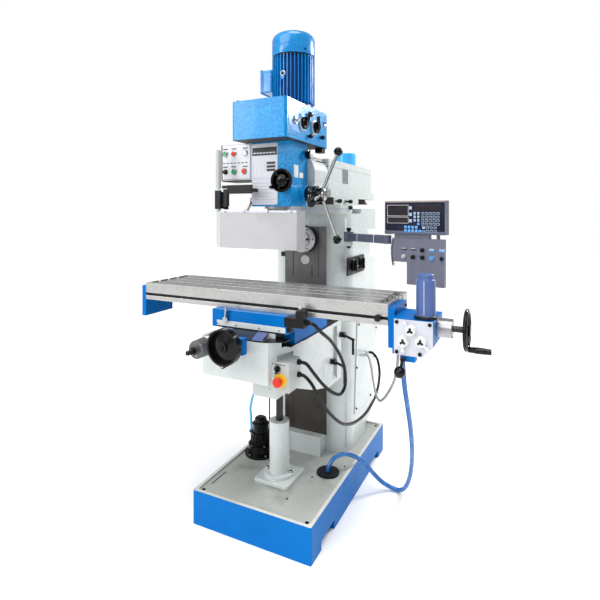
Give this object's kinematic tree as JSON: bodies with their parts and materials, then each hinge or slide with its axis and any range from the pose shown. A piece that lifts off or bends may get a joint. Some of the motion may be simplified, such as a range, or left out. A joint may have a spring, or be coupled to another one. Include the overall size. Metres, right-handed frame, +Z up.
{
  "type": "universal milling machine",
  "caption": "Knee-type universal milling machine with a swivelling ram head, horizontal spindle, power table feed, chip guard and digital readout on a swing arm.",
  "frame": {"origin": "on the floor at the centre of the base", "axes": "+Z up, +X to the operator's right along the table, +Y to the rear"},
  "size_m": [1.664, 1.566, 2.411],
  "materials": {
    "white_enamel": "gloss",
    "blue_enamel": "gloss",
    "black_paint": "satin",
    "deck_enamel": "worn satin",
    "head_castings": "hammertone",
    "motor_blue": "gloss paint",
    "pale_blue": "satin paint",
    "bright_steel": "satin",
    "chrome": "polished",
    "ground_iron": "ground",
    "dark_iron": "oiled",
    "black_bakelite": "gloss",
    "box_grey": "satin",
    "plate_silver": "satin",
    "feed_grey": "satin paint",
    "button_green": "gloss",
    "button_red": "gloss",
    "button_white": "gloss",
    "hose_blue": "translucent",
    "conduit_black": "satin",
    "conduit_grey": "braided",
    "guard_clear": "frosted",
    "readout_purple": "hammertone",
    "arm_purple": "hammertone"
  },
  "bodies": {
    "frame": {"base": "blue_enamel", "column": "white_enamel", "column_cover": "white_enamel", "screw_pedestal": "white_enamel", "coolant_pump": "black_paint", "coolant_hose": "hose_blue", "drain_hose": "hose_blue", "knee_conduit": "conduit_black", "feed_conduit": "conduit_grey"},
    "horizontal_spindle": {"horizontal_spindle": "bright_steel"},
    "upper_speed_selector": {"upper_speed_selector": "black_bakelite"},
    "lower_speed_selector": {"lower_speed_selector": "black_bakelite"},
    "knee": {"knee": "white_enamel", "knee_panel_box": "box_grey", "saddle_conduit": "conduit_black"},
    "elevating_screw": {"elevating_screw": "bright_steel"},
    "knee_crank": {"knee_crank": "chrome"},
    "emergency_button": {"emergency_button": "button_red"},
    "panel_switch": {"panel_switch": "black_bakelite"},
    "front_knee_lock": {"front_knee_lock": "black_bakelite"},
    "rear_knee_lock": {"rear_knee_lock": "black_bakelite"},
    "cross_feed": {"cross_feed_screw": "bright_steel", "cross_handwheel": "black_bakelite"},
    "saddle": {"saddle": "blue_enamel", "limit_switch": "feed_grey"},
    "saddle_lock": {"saddle_lock": "black_bakelite"},
    "table": {"table": "ground_iron", "left_end_bracket": "blue_enamel", "right_end_bracket": "blue_enamel", "feed_gearbox": "blue_enamel", "feed_gearbox_plate": "plate_silver", "feed_motor": "feed_grey"},
    "feed_dial_1": {"feed_dial_1": "black_bakelite"},
    "feed_dial_2": {"feed_dial_2": "black_bakelite"},
    "feed_dial_3": {"feed_dial_3": "black_bakelite"},
    "feed_engage_lever": {"feed_engage_lever": "black_bakelite"},
    "table_feed": {"table_lead_screw": "bright_steel", "table_crank": "black_bakelite"},
    "turret": {"turret": "white_enamel"},
    "ram": {"ram": "white_enamel", "ram_motor": "pale_blue"},
    "head": {"head_housing": "head_castings", "head_gearbox": "head_castings", "head_motor": "motor_blue", "control_box": "box_grey"},
    "quill": {"quill": "bright_steel"},
    "vertical_spindle": {"vertical_spindle": "chrome"},
    "quill_feed_lever": {"quill_feed_lever": "chrome"},
    "fine_feed_wheel": {"fine_feed_wheel": "black_bakelite"},
    "quill_lock": {"quill_lock": "black_bakelite"},
    "gear_lever_1": {"gear_lever_1": "black_bakelite"},
    "gear_lever_2": {"gear_lever_2": "black_bakelite"},
    "button_1": {"button_1": "button_green"},
    "button_2": {"button_2": "button_red"},
    "button_3": {"button_3": "button_white"},
    "button_4": {"button_4": "button_green"},
    "button_5": {"button_5": "button_red"},
    "guard_shield": {"guard_shield": "guard_clear"},
    "dro_arm": {"dro_arm": "arm_purple"},
    "dro_unit": {"dro_unit": "readout_purple"}
  },
  "joints": [
    {"name": "horizontal_spindle_turn", "type": "hinge", "parent": "frame", "child": "horizontal_spindle", "pos_m": [0, 0.06, 1.322], "axis": [0, 1, 0], "continuous": true},
    {"name": "upper_speed_select", "type": "hinge", "parent": "frame", "child": "upper_speed_selector", "pos_m": [0.25, 0.15, 1.178], "axis": [1, 0, 0], "range_deg": [-60, 60]},
    {"name": "lower_speed_select", "type": "hinge", "parent": "frame", "child": "lower_speed_selector", "pos_m": [0.25, 0.275, 1.178], "axis": [1, 0, 0], "range_deg": [-60, 60]},
    {"name": "knee_lift", "type": "slide", "parent": "frame", "child": "knee", "axis": [0, 0, 1], "range_m": [-0.135, 0.1], "deforming": ["drain_hose", "knee_conduit", "feed_conduit"]},
    {"name": "elevating_screw_turn", "type": "hinge", "parent": "knee", "child": "elevating_screw", "pos_m": [0, -0.243, 0.6], "axis": [0, 0, 1], "continuous": true},
    {"name": "knee_crank_turn", "type": "hinge", "parent": "knee", "child": "knee_crank", "pos_m": [-0.15, -0.6, 0.888], "axis": [0, 1, 0], "continuous": true},
    {"name": "emergency_press", "type": "slide", "parent": "knee", "child": "emergency_button", "axis": [0, 1, 0], "range_m": [0, 0.005], "stiffness_N_per_m": 1500},
    {"name": "panel_switch_turn", "type": "hinge", "parent": "knee", "child": "panel_switch", "pos_m": [0.165, -0.56, 0.81], "axis": [0, 1, 0], "range_deg": [-45, 45]},
    {"name": "front_knee_lock_turn", "type": "hinge", "parent": "knee", "child": "front_knee_lock", "pos_m": [0.202, -0.06, 0.702], "axis": [1, 0, 0], "range_deg": [-40, 40]},
    {"name": "rear_knee_lock_turn", "type": "hinge", "parent": "knee", "child": "rear_knee_lock", "pos_m": [0.202, 0.07, 0.81], "axis": [1, 0, 0], "range_deg": [-40, 40]},
    {"name": "saddle_slide", "type": "slide", "parent": "knee", "child": "saddle", "axis": [0, 1, 0], "range_m": [-0.05, 0.17], "deforming": ["saddle_conduit"]},
    {"name": "cross_feed_turn", "type": "hinge", "parent": "knee", "child": "cross_feed", "pos_m": [0, -0.715, 0.921], "axis": [0, 1, 0], "continuous": true},
    {"name": "saddle_lock_turn", "type": "hinge", "parent": "saddle", "child": "saddle_lock", "pos_m": [-0.113, -0.536, 0.988], "axis": [0, 1, 0], "range_deg": [-50, 50]},
    {"name": "table_slide", "type": "slide", "parent": "saddle", "child": "table", "axis": [1, 0, 0], "range_m": [-0.3, 0.3]},
    {"name": "table_feed_turn", "type": "hinge", "parent": "table", "child": "table_feed", "pos_m": [0.7, -0.435, 1.028], "axis": [1, 0, 0], "continuous": true},
    {"name": "feed_dial_1_turn", "type": "hinge", "parent": "table", "child": "feed_dial_1", "pos_m": [0.722, -0.54, 1.031], "axis": [0, 1, 0], "range_deg": [-40, 40]},
    {"name": "feed_dial_2_turn", "type": "hinge", "parent": "table", "child": "feed_dial_2", "pos_m": [0.695, -0.54, 0.987], "axis": [0, 1, 0], "range_deg": [-40, 40]},
    {"name": "feed_dial_3_turn", "type": "hinge", "parent": "table", "child": "feed_dial_3", "pos_m": [0.76, -0.54, 0.992], "axis": [0, 1, 0], "range_deg": [-40, 40]},
    {"name": "feed_engage", "type": "hinge", "parent": "table", "child": "feed_engage_lever", "pos_m": [0.694, -0.54, 0.921], "axis": [0, 1, 0], "range_deg": [-25, 25]},
    {"name": "turret_swivel", "type": "hinge", "parent": "frame", "child": "turret", "pos_m": [0, 0.22, 1.5], "axis": [0, 0, 1], "range_deg": [-45, 10]},
    {"name": "ram_slide", "type": "slide", "parent": "turret", "child": "ram", "axis": [0, -1, 0], "range_m": [-0.12, 0.2]},
    {"name": "head_swivel", "type": "hinge", "parent": "ram", "child": "head", "pos_m": [0, -0.146, 1.655], "axis": [0, 1, 0], "range_deg": [-45, 45]},
    {"name": "quill_feed", "type": "slide", "parent": "head", "child": "quill", "axis": [0, 0, -1], "range_m": [0, 0.12]},
    {"name": "vertical_spindle_turn", "type": "hinge", "parent": "quill", "child": "vertical_spindle", "pos_m": [0, -0.262, 1.5], "axis": [0, 0, 1], "continuous": true},
    {"name": "quill_lever_turn", "type": "hinge", "parent": "head", "child": "quill_feed_lever", "pos_m": [0.15, -0.2, 1.558], "axis": [1, 0, 0], "range_deg": [-10, 440]},
    {"name": "fine_feed_turn", "type": "hinge", "parent": "head", "child": "fine_feed_wheel", "pos_m": [0.079, -0.35, 1.621], "axis": [0, 1, 0], "continuous": true},
    {"name": "quill_lock_turn", "type": "hinge", "parent": "head", "child": "quill_lock", "pos_m": [-0.109, -0.296, 1.53], "axis": [1, 0, 0], "range_deg": [-30, 30]},
    {"name": "gear_lever_1_turn", "type": "hinge", "parent": "head", "child": "gear_lever_1", "pos_m": [0.146, -0.278, 1.899], "axis": [1, 0, 0], "range_deg": [-30, 30]},
    {"name": "gear_lever_2_turn", "type": "hinge", "parent": "head", "child": "gear_lever_2", "pos_m": [0.146, -0.139, 1.899], "axis": [1, 0, 0], "range_deg": [-30, 30]},
    {"name": "button_1_press", "type": "slide", "parent": "head", "child": "button_1", "axis": [0, 1, 0], "range_m": [0, 0.003], "stiffness_N_per_m": 800},
    {"name": "button_2_press", "type": "slide", "parent": "head", "child": "button_2", "axis": [0, 1, 0], "range_m": [0, 0.003], "stiffness_N_per_m": 800},
    {"name": "button_3_press", "type": "slide", "parent": "head", "child": "button_3", "axis": [0, 1, 0], "range_m": [0, 0.003], "stiffness_N_per_m": 800},
    {"name": "button_4_press", "type": "slide", "parent": "head", "child": "button_4", "axis": [0, 1, 0], "range_m": [0, 0.003], "stiffness_N_per_m": 800},
    {"name": "button_5_press", "type": "slide", "parent": "head", "child": "button_5", "axis": [0, 1, 0], "range_m": [0, 0.003], "stiffness_N_per_m": 800},
    {"name": "guard_swing", "type": "hinge", "parent": "head", "child": "guard_shield", "pos_m": [-0.258, -0.4, 1.5], "axis": [0, 0, -1], "range_deg": [0, 80]},
    {"name": "dro_arm_swing", "type": "hinge", "parent": "frame", "child": "dro_arm", "pos_m": [0.25, 0.075, 1.34], "axis": [0, 0, 1], "range_deg": [-15, 60]},
    {"name": "dro_unit_turn", "type": "hinge", "parent": "dro_arm", "child": "dro_unit", "pos_m": [0.505, -0.084, 1.369], "axis": [0, 0, 1], "range_deg": [-20, 30]}
  ],
  "couplings": [
    {"joint": "elevating_screw_turn", "follows": "knee_lift", "rad_per_m": 1047.2},
    {"joint": "knee_crank_turn", "follows": "knee_lift", "rad_per_m": 1047.2},
    {"joint": "cross_feed_turn", "follows": "saddle_slide", "rad_per_m": 1256.6},
    {"joint": "table_feed_turn", "follows": "table_slide", "rad_per_m": 1256.6},
    {"joint": "quill_lever_turn", "follows": "quill_feed", "rad_per_m": 62.832}
  ]
}
